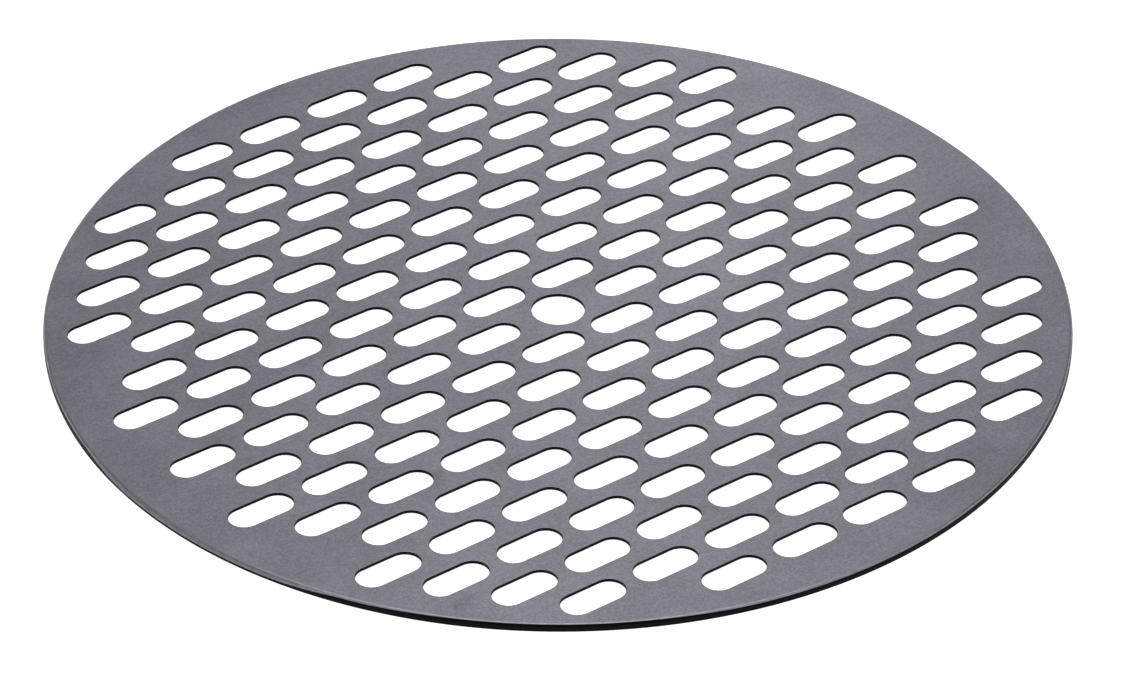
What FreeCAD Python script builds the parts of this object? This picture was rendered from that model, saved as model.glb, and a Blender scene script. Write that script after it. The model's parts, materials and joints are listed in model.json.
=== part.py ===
import FreeCAD, Part
import math
import os

# Round floor drain grate: one disc stamped from stainless sheet, with staggered slots,
# a centre hole for a lifting hook, and a rim turned down all round.
# Millimetres, +Z up. The origin is the centre of the plane that the rim's lower edge
# rests on, and +X runs along the slots.

# Driving dimensions
GRATE_DIAMETER = 304.8
SHEET_THICKNESS = 0.95  # 20 gauge
RIM_DEPTH = 2.4  # from the top face down to the rim's lower edge
RIM_INSIDE_BEND_RADIUS = 0.1
RIM_EDGE_CHAMFER = 0.15  # deburring on both corners of the rim's cut edge
SLOT_LENGTH = 20.64
SLOT_WIDTH = 9.525
SLOT_PITCH = 25.4  # centre to centre within a row; the next row is shifted by half of it
ROW_PITCH = 14.66
CENTRE_HOLE_DIAMETER = 15.875
MIN_RIM_LAND = 4.0  # a slot that would come nearer to the outside edge is left out
PUNCH_ROLL_RADIUS = 0.2  # rounding that the punch leaves on each opening's top edge

# Worked out from them
GRATE_RADIUS = GRATE_DIAMETER / 2
UNDERSIDE_Z = RIM_DEPTH - SHEET_THICKNESS
RIM_OUTSIDE_BEND_RADIUS = RIM_INSIDE_BEND_RADIUS + SHEET_THICKNESS
SLOT_END_RADIUS = SLOT_WIDTH / 2
SLOT_END_OFFSET = (SLOT_LENGTH - SLOT_WIDTH) / 2  # slot centre to the centre of a round end

OVERCUT = 1.0  # how far a punch's shaft passes the sheet at each side
STENCIL_MARGIN = 1.0  # width of the band round an opening that its rolled edge is made in
TOLERANCE = 1e-6


def point(x, y, z=0.0):
    return FreeCAD.Vector(x, y, z)


def line(start, end):
    return Part.LineSegment(start, end).toShape()


def arc(start, middle, end):
    return Part.Arc(start, middle, end).toShape()


def rim_section():
    """Half section of the blank in the XZ plane: a flat web that bends down into the rim."""
    bend_x = GRATE_RADIUS - RIM_OUTSIDE_BEND_RADIUS
    bend_z = RIM_DEPTH - RIM_OUTSIDE_BEND_RADIUS
    inner_wall_x = bend_x + RIM_INSIDE_BEND_RADIUS
    diagonal = math.sqrt(0.5)

    def on_bend(radius):
        return point(bend_x + radius * diagonal, 0, bend_z + radius * diagonal)

    top_centre = point(0, 0, RIM_DEPTH)
    top_edge = point(bend_x, 0, RIM_DEPTH)
    outer_wall_top = point(GRATE_RADIUS, 0, bend_z)
    outer_wall_foot = point(GRATE_RADIUS, 0, RIM_EDGE_CHAMFER)
    foot_outside = point(GRATE_RADIUS - RIM_EDGE_CHAMFER, 0, 0)
    foot_inside = point(inner_wall_x + RIM_EDGE_CHAMFER, 0, 0)
    inner_wall_foot = point(inner_wall_x, 0, RIM_EDGE_CHAMFER)
    inner_wall_top = point(inner_wall_x, 0, bend_z)
    underside_edge = point(bend_x, 0, UNDERSIDE_Z)
    underside_centre = point(0, 0, UNDERSIDE_Z)

    return Part.Face(Part.Wire([
        line(top_centre, top_edge),
        arc(top_edge, on_bend(RIM_OUTSIDE_BEND_RADIUS), outer_wall_top),
        line(outer_wall_top, outer_wall_foot),
        line(outer_wall_foot, foot_outside),
        line(foot_outside, foot_inside),
        line(foot_inside, inner_wall_foot),
        line(inner_wall_foot, inner_wall_top),
        arc(inner_wall_top, on_bend(RIM_INSIDE_BEND_RADIUS), underside_edge),
        line(underside_edge, underside_centre),
        line(underside_centre, top_centre),
    ]))


def blank():
    """The disc with its turned-down rim, before it is punched."""
    return rim_section().revolve(point(0, 0), point(0, 0, 1), 360)


def slot_outline(grow=0.0):
    """A slot with round ends, lying along X about the origin, larger all round by `grow`."""
    straight_end = SLOT_END_OFFSET
    radius = SLOT_END_RADIUS + grow
    tip = straight_end + radius
    return Part.Wire([
        line(point(-straight_end, -radius), point(straight_end, -radius)),
        arc(point(straight_end, -radius), point(tip, 0), point(straight_end, radius)),
        line(point(straight_end, radius), point(-straight_end, radius)),
        arc(point(-straight_end, radius), point(-tip, 0), point(-straight_end, -radius)),
    ])


def centre_hole_outline(grow=0.0):
    """The centre hole's circle about the origin, larger all round by `grow`."""
    return Part.Wire(Part.makeCircle(CENTRE_HOLE_DIAMETER / 2 + grow))


def prism(outline, bottom, top):
    """The solid that stands on `outline` between two heights."""
    face = Part.Face(outline)
    face.translate(point(0, 0, bottom))
    return face.extrude(point(0, 0, top - bottom))


def punch(outline):
    """What one punch removes: its straight shaft, and a mouth that flares at the top face."""
    shaft = prism(outline(), UNDERSIDE_Z - OVERCUT, RIM_DEPTH + OVERCUT)
    block = prism(outline(STENCIL_MARGIN), UNDERSIDE_Z, RIM_DEPTH)
    stencil = block.cut(shaft)
    mouth = outline()
    mouth.translate(point(0, 0, RIM_DEPTH))

    def is_mouth_edge(edge):
        lies_on_top = edge.BoundBox.ZMin > RIM_DEPTH - TOLERANCE
        return lies_on_top and mouth.distToShape(edge)[0] < TOLERANCE

    mouth_edges = [edge for edge in stencil.Edges if is_mouth_edge(edge)]
    rolled_stencil = stencil.makeFillet(PUNCH_ROLL_RADIUS, mouth_edges)
    return shaft.fuse(block.cut(rolled_stencil)).removeSplitter()


def slot_centres():
    """Centres of the slots, on rows that are each shifted by half a pitch from the next.

    The pattern fills the disc as far as MIN_RIM_LAND allows, and its middle site is left
    to the round centre hole.
    """
    half_pitch = SLOT_PITCH / 2
    last_row = int(GRATE_RADIUS / ROW_PITCH)
    last_step = int(GRATE_RADIUS / half_pitch)
    centres = []
    for row in range(-last_row, last_row + 1):
        for step in range(-last_step, last_step + 1):
            x = step * half_pitch
            y = row * ROW_PITCH
            reach = math.hypot(abs(x) + SLOT_END_OFFSET, y) + SLOT_END_RADIUS
            is_on_pattern = (row + step) % 2 == 0
            is_centre = row == 0 and step == 0
            fits_the_rim = reach <= GRATE_RADIUS - MIN_RIM_LAND
            if is_on_pattern and fits_the_rim and not is_centre:
                centres.append(point(x, y))
    return centres


def grate_plate():
    """The finished stamping: the blank, punched once for each slot and once at the centre."""
    slot_punch = punch(slot_outline)
    punches = [slot_punch.translated(centre) for centre in slot_centres()]
    punches.append(punch(centre_hole_outline))
    return blank().cut(Part.Compound(punches)).Solids[0]


os.makedirs("parts", exist_ok=True)
grate = grate_plate()
grate.exportStep("parts/grate_plate.step")
print("slots", len(slot_centres()), "valid", grate.isValid(), "volume", round(grate.Volume, 1))
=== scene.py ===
import json
import math

import bpy
from mathutils import Matrix, Quaternion, Vector
from mathutils.geometry import delaunay_2d_cdt


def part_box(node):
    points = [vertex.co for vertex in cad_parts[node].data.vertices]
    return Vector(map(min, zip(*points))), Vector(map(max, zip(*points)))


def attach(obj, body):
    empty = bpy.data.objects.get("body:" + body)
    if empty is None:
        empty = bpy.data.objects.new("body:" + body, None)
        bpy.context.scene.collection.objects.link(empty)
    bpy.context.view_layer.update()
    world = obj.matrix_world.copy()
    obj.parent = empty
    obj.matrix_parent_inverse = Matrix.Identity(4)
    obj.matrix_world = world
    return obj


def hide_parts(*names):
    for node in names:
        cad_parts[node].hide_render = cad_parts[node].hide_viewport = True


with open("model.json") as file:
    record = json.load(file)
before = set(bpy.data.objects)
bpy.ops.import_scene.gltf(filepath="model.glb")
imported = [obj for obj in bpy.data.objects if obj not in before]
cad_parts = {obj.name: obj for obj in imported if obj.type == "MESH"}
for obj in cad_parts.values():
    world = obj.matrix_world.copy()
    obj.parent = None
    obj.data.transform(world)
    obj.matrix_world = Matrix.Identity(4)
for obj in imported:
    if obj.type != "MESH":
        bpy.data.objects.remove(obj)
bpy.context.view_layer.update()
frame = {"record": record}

# A round drain grate stamped from one stainless sheet, built as a mesh with the sheared,
# rolled and bent edges that the stamping leaves. Metres, in the CAD frame.

MM = 0.001
CAD_NODE = "grate_plate"

# The stamping
SHEET_THICKNESS = 0.95 * MM
SLOT_LENGTH = 20.64 * MM
SLOT_WIDTH = 9.525 * MM
SLOT_PITCH = 25.4 * MM
ROW_PITCH = 14.66 * MM
MIN_RIM_LAND = 4.0 * MM  # metal between a slot and the plate's edge
INSIDE_BEND_RADIUS = 0.1 * MM
RIM_CORNER_RADIUS = 0.15 * MM

# What the punch leaves on an opening's wall, from the top face down
ROLL_RADIUS = 0.2 * MM
BURNISH_DEPTH = 0.45 * MM  # below the top face, down to where the metal tore
TEAR_STEP = 0.02 * MM
TEAR_TAPER = 0.03 * MM  # how much wider the torn part is at the underside
BURR_HEIGHT = 0.11 * MM
BURR_WIDTH = 0.1 * MM

# Mesh fineness
SLOT_END_SEGMENTS = 14
HOLE_SEGMENTS = 64
RIM_SEGMENTS = 420
ROLL_SEGMENTS = 5
BEND_SEGMENTS = 9

# The plate's materials, by index. A roll or a bend keeps the face's brightness down to BRIGHT_TURN
# and takes a painted-shade material past it.
FACE, BEND, WALL, CUT = range(4)
BRIGHT_TURN = math.radians(40)

LOW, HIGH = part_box(CAD_NODE)
TOP = HIGH.z
FOOT = LOW.z
RADIUS = (HIGH.x - LOW.x) / 2
UNDERSIDE = TOP - SHEET_THICKNESS


def mount(name):
    return next(m for m in frame["record"]["mounts"] if m["name"] == name)


# ---------------------------------------------------------------- outlines

class Outline:
    """A closed loop seen from above: arc centres, the outward direction at each point, a radius."""

    def __init__(self, centres, directions, radius):
        self.centres = centres
        self.directions = directions
        self.radius = radius

    def moved(self, x, y):
        centres = [(cx + x, cy + y) for cx, cy in self.centres]
        return Outline(centres, self.directions, self.radius)


def circle_outline(radius, segments):
    turns = [2 * math.pi * i / segments for i in range(segments)]
    directions = [(math.cos(t), math.sin(t)) for t in turns]
    return Outline([(0.0, 0.0)] * segments, directions, radius)


def slot_outline():
    """A slot with two half-round ends, lying along X about the origin."""
    end_x = (SLOT_LENGTH - SLOT_WIDTH) / 2
    centres = []
    directions = []
    for side, first_turn in ((1, -math.pi / 2), (-1, math.pi / 2)):
        for i in range(SLOT_END_SEGMENTS + 1):
            turn = first_turn + math.pi * i / SLOT_END_SEGMENTS
            centres.append((side * end_x, 0.0))
            directions.append((math.cos(turn), math.sin(turn)))
    return Outline(centres, directions, SLOT_WIDTH / 2)


def slot_places():
    """Staggered rows of slots that fill the disc and leave the middle to the round hole."""
    half_pitch = SLOT_PITCH / 2
    end_x = (SLOT_LENGTH - SLOT_WIDTH) / 2
    rows = int(RADIUS / ROW_PITCH)
    steps = int(RADIUS / half_pitch)
    places = []
    for row in range(-rows, rows + 1):
        for step in range(-steps, steps + 1):
            x = step * half_pitch
            y = row * ROW_PITCH
            reach = math.hypot(abs(x) + end_x, y) + SLOT_WIDTH / 2
            on_pattern = (row + step) % 2 == 0
            at_centre = row == 0 and step == 0
            if on_pattern and not at_centre and reach <= RADIUS - MIN_RIM_LAND:
                places.append((x, y))
    return places


# ---------------------------------------------------------------- profiles
# A profile is a list of (offset from the outline, height, outward and upward parts of the
# normal, which may have any length, material of the strip that ends there).

def quarter_turn(steps):
    return [math.pi / 2 * i / steps for i in range(steps + 1)]


def opening_profile():
    """Section of an opening's wall, from the top face down to the underside."""
    profile = []
    for turn in quarter_turn(ROLL_SEGMENTS):
        out = ROLL_RADIUS * (1 - math.sin(turn))
        height = TOP - ROLL_RADIUS * (1 - math.cos(turn))
        # Past BRIGHT_TURN the roll takes the cut's painted shade
        material = BEND if turn < BRIGHT_TURN else CUT
        profile.append((out, height, -math.sin(turn), math.cos(turn), material))
    tear_top = TOP - BURNISH_DEPTH
    taper_slope = TEAR_TAPER / (tear_top - UNDERSIDE)
    profile.append((0.0, tear_top, -1.0, 0.0, CUT))
    profile.append((TEAR_STEP, tear_top - TEAR_STEP, -1.0, -taper_slope, CUT))
    profile.append((TEAR_TAPER, UNDERSIDE, -1.0, -taper_slope, CUT))
    burr_tip = TEAR_TAPER + BURR_WIDTH / 4
    profile.append((burr_tip, UNDERSIDE - BURR_HEIGHT, 0.0, -1.0, CUT))
    profile.append((TEAR_TAPER + BURR_WIDTH, UNDERSIDE, 0.0, -1.0, CUT))
    return profile


def rim_profile():
    """Section of the turned-down rim, from the top face over the bend and back underneath."""
    outside_radius = INSIDE_BEND_RADIUS + SHEET_THICKNESS
    bend_offset = -outside_radius
    bend_height = TOP - outside_radius
    inner_wall = -SHEET_THICKNESS
    corner = RIM_CORNER_RADIUS
    mid_corner = 0.3 * corner  # a quarter round's middle, measured from its two sides
    profile = []
    for turn in quarter_turn(BEND_SEGMENTS):
        out = bend_offset + outside_radius * math.sin(turn)
        height = bend_height + outside_radius * math.cos(turn)
        # Past BRIGHT_TURN the bend takes the rim wall's painted shade and painted sheen
        material = BEND if turn < BRIGHT_TURN else WALL
        profile.append((out, height, math.sin(turn), math.cos(turn), material))
    profile.append((0.0, FOOT + corner, 1.0, 0.0, WALL))
    profile.append((-mid_corner, FOOT + mid_corner, 1.0, -1.0, CUT))
    profile.append((-corner, FOOT, 0.0, -1.0, CUT))
    profile.append((inner_wall + corner, FOOT, 0.0, -1.0, CUT))
    profile.append((inner_wall + mid_corner, FOOT + mid_corner, -1.0, -1.0, CUT))
    profile.append((inner_wall, FOOT + corner, -1.0, 0.0, CUT))
    for turn in reversed(quarter_turn(BEND_SEGMENTS // 2)):
        out = bend_offset + INSIDE_BEND_RADIUS * math.sin(turn)
        height = bend_height + INSIDE_BEND_RADIUS * math.cos(turn)
        profile.append((out, height, -math.sin(turn), -math.cos(turn), FACE))
    return profile


# ---------------------------------------------------------------- plate mesh

class PlateMesh:
    """Vertices, their normals, and faces with their materials."""

    def __init__(self):
        self.vertices = []
        self.normals = []
        self.faces = []
        self.materials = []
        self.top_loops = []
        self.underside_loops = []

    def sweep(self, outline, profile, around_metal):
        """Carries a profile round an outline. around_metal is true where the metal is inside."""
        count = len(outline.centres)
        rings = []
        for out, height, normal_out, normal_up, _ in profile:
            first = len(self.vertices)
            rings.append([first + i for i in range(count)])
            reach = outline.radius + out
            for (cx, cy), (dx, dy) in zip(outline.centres, outline.directions):
                self.vertices.append((cx + dx * reach, cy + dy * reach, height))
                normal = Vector((dx * normal_out, dy * normal_out, normal_up))
                self.normals.append(normal.normalized())
        strip_materials = [material for _, _, _, _, material in profile[1:]]
        for upper, lower, material in zip(rings, rings[1:], strip_materials):
            for i in range(count):
                j = (i + 1) % count
                face = (upper[i], lower[i], lower[j], upper[j])
                self.faces.append(face if around_metal else face[::-1])
                self.materials.append(material)
        self.top_loops.append(rings[0])
        self.underside_loops.append(rings[-1])

    def fill(self, loops, faces_up):
        """Fills the flat sheet between its outer loop, which comes first, and the openings."""
        indices = [index for loop in loops for index in loop]
        loop_numbers = [number for number, loop in enumerate(loops) for _ in loop]
        flat = [Vector(self.vertices[index][:2]) for index in indices]
        edges = []
        for loop in loops:
            start = len(edges)
            count = len(loop)
            edges += [(start + i, start + (i + 1) % count) for i in range(count)]
        triangles_inside = 1
        merge_distance = 1e-7
        result = delaunay_2d_cdt(flat, edges, [], triangles_inside, merge_distance)
        _, _, triangles, sources = result[:4]
        for triangle in triangles:
            corners = [sources[corner][0] for corner in triangle]
            touched = {loop_numbers[corner] for corner in corners}
            spans_an_opening = len(touched) == 1 and 0 not in touched
            if not spans_an_opening:
                face = tuple(indices[corner] for corner in corners)
                self.faces.append(face if faces_up else face[::-1])
                self.materials.append(FACE)


def build_plate():
    mesh = PlateMesh()
    mesh.sweep(circle_outline(RADIUS, RIM_SEGMENTS), rim_profile(), around_metal=True)
    hole_radius = mount("centre_hole")["dims"]["r_mm"] * MM
    wall = opening_profile()
    mesh.sweep(circle_outline(hole_radius, HOLE_SEGMENTS), wall, around_metal=False)
    slot = slot_outline()
    for x, y in slot_places():
        mesh.sweep(slot.moved(x, y), wall, around_metal=False)
    mesh.fill(mesh.top_loops, faces_up=True)
    mesh.fill(mesh.underside_loops, faces_up=False)

    data = bpy.data.meshes.new("stamped_plate")
    data.from_pydata(mesh.vertices, [], mesh.faces)
    data.polygons.foreach_set("material_index", mesh.materials)
    data.shade_smooth()
    data.normals_split_custom_set_from_vertices(mesh.normals)
    data.validate()
    plate = bpy.data.objects.new("stamped_plate", data)
    bpy.context.scene.collection.objects.link(plate)
    for material in (sheet_face(), bend_face(), rim_wall(), cut_edge()):
        data.materials.append(material)
    return plate


# ---------------------------------------------------------------- materials

STEEL = (0.312, 0.299, 0.331)
# Near-black steel for the rim wall and the cuts: painted shade, standing in for sides that get no
# light
PAINTED_SHADE_STEEL = (0.004, 0.0038, 0.0042)
FLOOR_COLOUR = (0.9, 0.9, 0.9)

# The rim's outside has a painted sheen above a line and painted shade below it. The line is highest
# on the side nearest the camera, dips a little elsewhere, and dips most on the lit side, where the
# painted sheen reaches lowest.
SHADE_BELOW = FOOT + 2.16 * MM
SHEEN_ABOVE = FOOT + 2.28 * MM
USUAL_DIP = 0.32 * MM
LIT_DIP = 1.0 * MM
SHADED_SIDE = math.radians(-127)
LIT_SIDE = math.radians(-170)
# Where each of these two stretches ends and where it is at full strength, as a nearness
SHADED_STRETCH = (0.93, 0.992)
LIT_STRETCH = (0.94, 0.985)
# How many times the near-black steel is added to itself where the rim has its painted sheen
USUAL_SHEEN = 105.0
LIT_SHEEN = 65.0


class Nodes:
    """A new node material and short ways to add to it."""

    def __init__(self, name):
        self.material = bpy.data.materials.new(name)
        self.material.use_nodes = True
        self.tree = self.material.node_tree
        self.shader = self.tree.nodes["Principled BSDF"]
        self.place = self.add("ShaderNodeTexCoord").outputs["Object"]

    def add(self, kind, **settings):
        node = self.tree.nodes.new(kind)
        for key, value in settings.items():
            setattr(node, key, value)
        return node

    def give(self, socket, value):
        """Sets a socket to a plain value, or links another node's output to it."""
        if isinstance(value, bpy.types.NodeSocket):
            self.tree.links.new(value, socket)
        else:
            socket.default_value = value

    def set(self, name, value):
        self.give(self.shader.inputs[name], value)

    def noise(self, scale, detail=3.0, roughness=0.5, stretch=(1, 1, 1), shift=(0, 0, 0)):
        """Noise with `scale` features a metre, longer along an axis whose stretch is below 1."""
        mapping = self.add("ShaderNodeMapping")
        self.give(mapping.inputs["Vector"], self.place)
        self.give(mapping.inputs["Scale"], stretch)
        self.give(mapping.inputs["Location"], shift)
        texture = self.add("ShaderNodeTexNoise")
        self.give(texture.inputs["Vector"], mapping.outputs["Vector"])
        self.give(texture.inputs["Scale"], scale)
        self.give(texture.inputs["Detail"], detail)
        self.give(texture.inputs["Roughness"], roughness)
        return texture.outputs["Fac"]

    def span(self, value, start, end, low, high):
        """Goes smoothly from low to high as the value goes from start to end."""
        node = self.add("ShaderNodeMapRange", interpolation_type="SMOOTHSTEP")
        self.give(node.inputs["Value"], value)
        self.give(node.inputs["From Min"], start)
        self.give(node.inputs["From Max"], end)
        self.give(node.inputs["To Min"], low)
        self.give(node.inputs["To Max"], high)
        return node.outputs["Result"]

    def varied(self, low, high, within=(0.3, 0.7), **noise):
        """Goes from low to high over the surface, as the noise goes through the range `within`."""
        return self.span(self.noise(**noise), *within, low, high)

    def math(self, operation, first, second):
        node = self.add("ShaderNodeMath", operation=operation)
        self.give(node.inputs[0], first)
        self.give(node.inputs[1], second)
        return node.outputs[0]

    def product(self, first, *others):
        result = first
        for other in others:
            result = self.math("MULTIPLY", result, other)
        return result

    def split_place(self):
        node = self.add("ShaderNodeSeparateXYZ")
        self.give(node.inputs["Vector"], self.place)
        return node.outputs

    def nearness(self, side):
        """1 at that side of the plate's edge, 0 a quarter turn away, -1 opposite."""
        place = self.split_place()
        along_x = self.math("MULTIPLY", place["X"], math.cos(side) / RADIUS)
        along_y = self.math("MULTIPLY", place["Y"], math.sin(side) / RADIUS)
        return self.math("ADD", along_x, along_y)

    def tint(self, colour, factor):
        """Gives the shader the colour, lighter or darker by a factor that varies."""
        node = self.add("ShaderNodeVectorMath", operation="SCALE")
        self.give(node.inputs[0], colour)
        self.give(node.inputs["Scale"], factor)
        self.set("Base Color", node.outputs["Vector"])

    def bump(self, height, depth):
        node = self.add("ShaderNodeBump")
        self.give(node.inputs["Distance"], depth)
        self.give(node.inputs["Height"], height)
        self.set("Normal", node.outputs["Normal"])


def sheet_face():
    """Dull mill-finished stainless: cloudy patches, fine grain, faint rolling lines, smudges."""
    nodes = Nodes("stainless_mill_finish")
    clouds = nodes.varied(0.93, 1.07, scale=28, roughness=0.55)
    patches = nodes.varied(0.97, 1.03, scale=330, detail=2.0, shift=(0.2, 0.7, 0))
    grain = nodes.varied(0.82, 1.18, within=(0.25, 0.75), scale=1500, detail=2.0, roughness=0.7)
    lines = nodes.varied(0.975, 1.025, scale=2200, detail=2.0, stretch=(0.02, 1, 1))
    smudge_noise = nodes.noise(scale=62, detail=4.0, roughness=0.6, shift=(0.31, 0.12, 0))
    smudges = nodes.span(smudge_noise, start=0.62, end=0.75, low=1.0, high=0.84)
    nodes.tint(STEEL, nodes.product(clouds, patches, grain, lines, smudges))
    nodes.set("Metallic", 1.0)
    satin = nodes.varied(0.33, 0.43, scale=45, detail=4.0, roughness=0.6, shift=(0.05, 0.4, 0))
    nodes.set("Roughness", satin)
    nodes.bump(nodes.noise(scale=1500, roughness=0.6), depth=0.02 * MM)
    return nodes.material


def bend_face():
    """Metal stretched over a bend or a roll: a little smoother than the face, without clouds."""
    nodes = Nodes("stainless_bend")
    nodes.tint(STEEL, nodes.varied(0.9, 1.1, scale=400, roughness=0.6))
    nodes.set("Metallic", 1.0)
    nodes.set("Roughness", nodes.varied(0.3, 0.42, scale=900, roughness=0.6))
    nodes.bump(nodes.noise(scale=1500, roughness=0.6), depth=0.01 * MM)
    return nodes.material


def rim_wall():
    """The rim's outside: a painted sheen over the bend, and painted shade below a line that dips
    round the rim.
    """
    nodes = Nodes("stainless_rim_wall")
    near_lit_side = nodes.nearness(LIT_SIDE)
    usual_dip = nodes.span(nodes.nearness(SHADED_SIDE), *SHADED_STRETCH, USUAL_DIP, 0.0)
    lit_dip = nodes.span(near_lit_side, *LIT_STRETCH, 0.0, LIT_DIP)
    dip = nodes.math("ADD", usual_dip, lit_dip)
    height_and_dip = nodes.math("ADD", nodes.split_place()["Z"], dip)
    # Painted sheen above the line, painted shade below it
    pale = nodes.span(height_and_dip, SHADE_BELOW, SHEEN_ABOVE, 0.0, 1.0)
    paleness = nodes.span(near_lit_side, *LIT_STRETCH, USUAL_SHEEN, LIT_SHEEN)
    mottle = nodes.varied(0.75, 1.0, within=(0.3, 0.6), scale=350, detail=4.0, roughness=0.6)
    nodes.tint(PAINTED_SHADE_STEEL, nodes.math("ADD", nodes.product(pale, paleness, mottle), 1.0))
    nodes.set("Specular IOR Level", 0.05)
    nodes.set("Roughness", 0.55)
    nodes.bump(nodes.noise(scale=900, roughness=0.6), depth=0.02 * MM)
    return nodes.material


def cut_edge():
    """The cut through the sheet: painted near-black as shade, with upright score marks from the
    punch.
    """
    nodes = Nodes("stainless_cut_edge")
    scores = nodes.noise(scale=2600, roughness=0.6, stretch=(1, 1, 0.08))
    nodes.tint(PAINTED_SHADE_STEEL, nodes.span(scores, start=0.3, end=0.7, low=0.5, high=1.6))
    nodes.set("Specular IOR Level", 0.05)
    nodes.set("Roughness", nodes.span(scores, start=0.3, end=0.7, low=0.45, high=0.6))
    nodes.bump(scores, depth=0.03 * MM)
    return nodes.material


def floor_finish():
    """Plain pale floor with a faint unevenness, lit a little from within to stay white."""
    nodes = Nodes("pale_floor")
    nodes.tint(FLOOR_COLOUR, nodes.varied(0.98, 1.0, scale=6, detail=2.0))
    nodes.set("Roughness", 0.9)
    nodes.set("Specular IOR Level", 0.1)
    nodes.set("Emission Color", (1, 1, 1, 1))
    nodes.set("Emission Strength", 0.85)
    return nodes.material


# ---------------------------------------------------------------- studio

FLOOR_HALF_WIDTH = 12.0

CAMERA_AZIMUTH = math.radians(37.18)  # of the view, turned from +Y towards +X
CAMERA_ELEVATION = math.radians(35.01)
CAMERA_ROLL = math.radians(-0.26)
CAMERA_DISTANCE = 1.6512
CAMERA_OFFSET_RIGHT = 0.00136
CAMERA_OFFSET_UP = -0.00919
CAMERA_LENS = 178.03

ROOM_COLOUR = (0.92, 0.94, 1.0, 1)
# How bright the room is, from behind the camera (0) round to straight ahead (1)
ROOM_LIGHT = ((0.1, 0.02), (0.45, 0.34), (0.9, 0.35), (1.0, 2.6))

OVERHEAD_HEIGHT = 1.6
STRIP_HEIGHT = 0.56
STRIP_AHEAD = 0.75
STRIP_RIGHT = 0.035
STRIP_LEAN = math.radians(-10)


def add_floor():
    signs = ((-1, -1), (1, -1), (1, 1), (-1, 1))
    corners = [(x * FLOOR_HALF_WIDTH, y * FLOOR_HALF_WIDTH, FOOT) for x, y in signs]
    data = bpy.data.meshes.new("floor")
    data.from_pydata(corners, [], [(0, 1, 2, 3)])
    data.materials.append(floor_finish())
    floor = bpy.data.objects.new("floor", data)
    bpy.context.scene.collection.objects.link(floor)


def level_axes():
    """The directions to the camera's right and straight ahead of it, both level."""
    sine, cosine = math.sin(CAMERA_AZIMUTH), math.cos(CAMERA_AZIMUTH)
    return Vector((cosine, -sine, 0)), Vector((sine, cosine, 0))


def add_camera():
    right, ahead = level_axes()
    sine, cosine = math.sin(CAMERA_ELEVATION), math.cos(CAMERA_ELEVATION)
    up = ahead * sine + Vector((0, 0, cosine))
    forward = ahead * cosine - Vector((0, 0, sine))
    aim = Vector((0, 0, TOP)) + right * CAMERA_OFFSET_RIGHT + up * CAMERA_OFFSET_UP
    place = aim - forward * CAMERA_DISTANCE
    side = right * math.cos(CAMERA_ROLL) - up * math.sin(CAMERA_ROLL)
    top = right * math.sin(CAMERA_ROLL) + up * math.cos(CAMERA_ROLL)
    data = bpy.data.cameras.new("camera")
    data.sensor_width = 36.0
    data.lens = CAMERA_LENS
    data.clip_start = 0.05
    data.clip_end = 50.0
    camera = bpy.data.objects.new("camera", data)
    rows = [(side[i], top[i], -forward[i], place[i]) for i in range(3)]
    camera.matrix_world = Matrix(rows + [(0, 0, 0, 1)])
    bpy.context.scene.collection.objects.link(camera)
    bpy.context.scene.camera = camera


def add_softbox(name, place, width, height, power, lean=0.0):
    """A rectangular light that faces the middle of the plate."""
    data = bpy.data.lights.new(name, "AREA")
    data.shape = "RECTANGLE"
    data.size = width
    data.size_y = height
    data.energy = power
    light = bpy.data.objects.new(name, data)
    light.location = place
    facing = (Vector((0, 0, TOP)) - place).to_track_quat("-Z", "Y")
    light.rotation_euler = (facing @ Quaternion((0, 0, 1), lean)).to_euler()
    bpy.context.scene.collection.objects.link(light)


def add_lights():
    right, ahead = level_axes()
    overhead = Vector((0, 0, OVERHEAD_HEIGHT))
    add_softbox("overhead", overhead, width=1.8, height=1.8, power=12)
    strip = ahead * STRIP_AHEAD + right * STRIP_RIGHT + Vector((0, 0, STRIP_HEIGHT))
    add_softbox("strip", strip, width=0.16, height=1.1, power=0.3, lean=STRIP_LEAN)
    bpy.context.scene.view_settings.view_transform = "Standard"


def add_surroundings():
    """A pale room, dark behind the camera and lightest straight ahead along the floor."""
    world = bpy.data.worlds.new("studio")
    world.use_nodes = True
    tree = world.node_tree
    background = tree.nodes["Background"]
    background.inputs["Color"].default_value = ROOM_COLOUR
    direction = tree.nodes.new("ShaderNodeTexCoord").outputs["Generated"]
    forwardness = tree.nodes.new("ShaderNodeVectorMath")
    forwardness.operation = "DOT_PRODUCT"
    _, ahead = level_axes()
    forwardness.inputs[1].default_value = ahead
    halved = tree.nodes.new("ShaderNodeMapRange")
    halved.inputs["From Min"].default_value = -1.0
    curve = tree.nodes.new("ShaderNodeFloatCurve")
    points = curve.mapping.curves[0].points
    ready_made = len(points)
    _, brightest = ROOM_LIGHT[-1]
    for number, (place, light) in enumerate(ROOM_LIGHT):
        share = light / brightest
        point = points[number] if number < ready_made else points.new(place, share)
        point.location = (place, share)
    curve.mapping.update()
    strength = tree.nodes.new("ShaderNodeMath")
    strength.operation = "MULTIPLY"
    strength.inputs[1].default_value = brightest
    tree.links.new(direction, forwardness.inputs[0])
    tree.links.new(forwardness.outputs["Value"], halved.inputs["Value"])
    tree.links.new(halved.outputs["Result"], curve.inputs["Value"])
    tree.links.new(curve.outputs["Value"], strength.inputs[0])
    tree.links.new(strength.outputs["Value"], background.inputs["Strength"])
    bpy.context.scene.world = world


plate = build_plate()
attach(plate, "root")
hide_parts(CAD_NODE)
add_floor()
add_camera()
add_lights()
add_surroundings()
